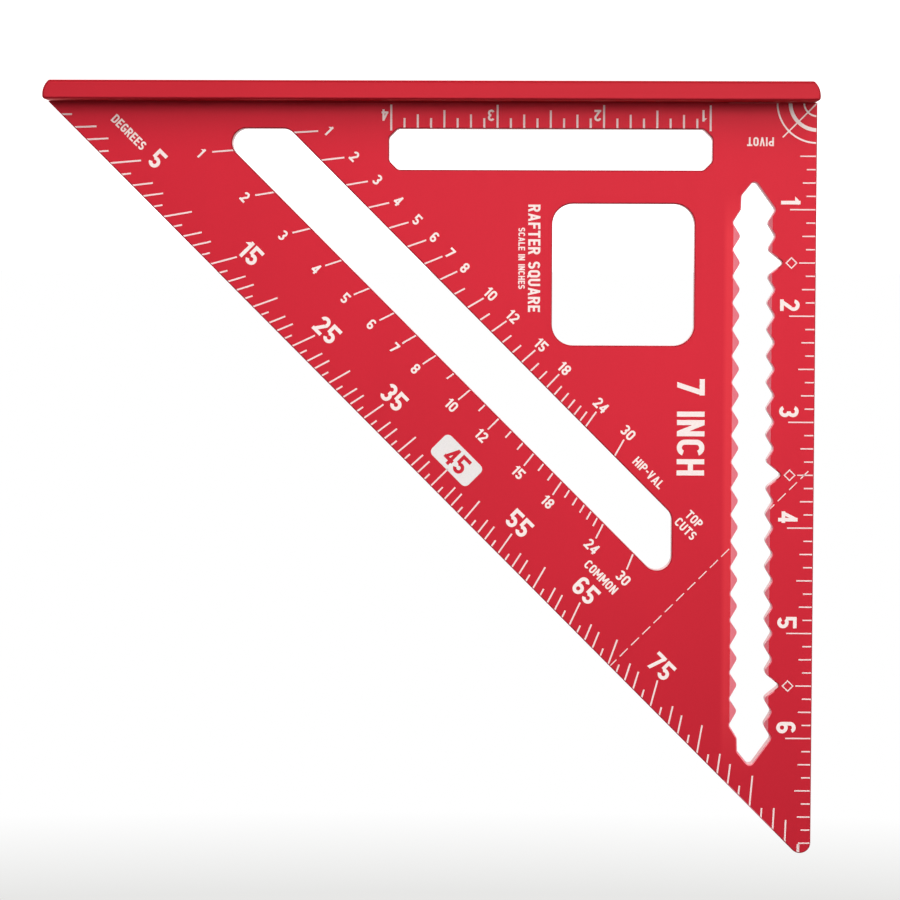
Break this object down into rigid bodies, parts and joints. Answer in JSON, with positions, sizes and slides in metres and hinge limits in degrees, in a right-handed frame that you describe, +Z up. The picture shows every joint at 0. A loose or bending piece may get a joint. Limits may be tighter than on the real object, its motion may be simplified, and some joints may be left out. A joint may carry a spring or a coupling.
{
  "type": "speed square",
  "caption": "Triangular aluminium rafter square with a T-shaped fence, ruler, window, diagonal and toothed scribing slots, and etched degree, rafter and inch scales.",
  "frame": {"origin": "centre of the fence's outer face, which the square stands on", "axes": "+Z up from the fence to the blade's tip, +X along the fence away from the pivot corner, -Y out of the marked face; Y is across the blade"},
  "size_m": [0.184, 0.0222, 0.1848],
  "materials": {
    "red_anodised": "satin red anodised coating",
    "etched_mark": "matt white laser etching"
  },
  "bodies": {
    "root": {"blade": "red_anodised", "fence": "red_anodised", "degree_ticks": "etched_mark", "degree_numerals": "etched_mark", "degree_badge": "etched_mark", "degree_label": "etched_mark", "common_ticks": "etched_mark", "common_numerals": "etched_mark", "common_label": "etched_mark", "hip_valley_ticks": "etched_mark", "hip_valley_numerals": "etched_mark", "hip_valley_label": "etched_mark", "top_cuts_label": "etched_mark", "edge_scale_ticks": "etched_mark", "edge_scale_numerals": "etched_mark", "fence_scale_ticks": "etched_mark", "fence_scale_numerals": "etched_mark", "pivot_rings": "etched_mark", "pivot_label": "etched_mark", "diamond_marks": "etched_mark", "dashed_line": "etched_mark", "tool_label": "etched_mark", "size_label": "etched_mark"}
  },
  "joints": []
}
